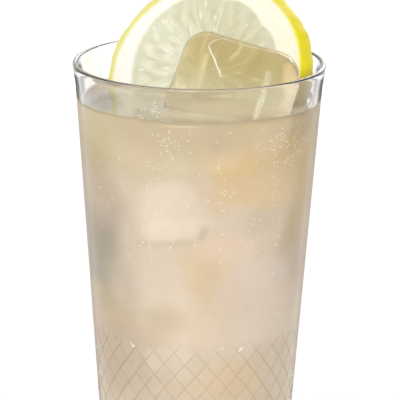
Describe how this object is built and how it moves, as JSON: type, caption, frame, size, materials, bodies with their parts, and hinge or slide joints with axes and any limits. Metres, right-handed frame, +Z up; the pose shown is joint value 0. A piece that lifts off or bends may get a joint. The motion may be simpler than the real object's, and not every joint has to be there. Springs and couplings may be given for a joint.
{
  "type": "glass of gin punch",
  "caption": "Tall tapered tumbler with a cut diamond band, filled with pale cloudy punch, a lemon wheel and a block of ice.",
  "frame": {"origin": "centre of the glass's flat underside", "axes": "+Z up along the glass's axis, -Y towards the side from which the lemon wheel's face is seen, +X to the right of that view"},
  "size_m": [0.076, 0.076, 0.1734],
  "materials": {
    "glass": "clear, polished, cut",
    "drink": "cloudy pale liquid, pinkish cream",
    "lemon": "moist citrus: yellow peel, white pith, pale flesh",
    "ice": "melting clear ice"
  },
  "bodies": {
    "root": {"glass": "glass", "drink": "drink", "lemon_slice": "lemon", "ice_block": "ice"}
  },
  "joints": []
}
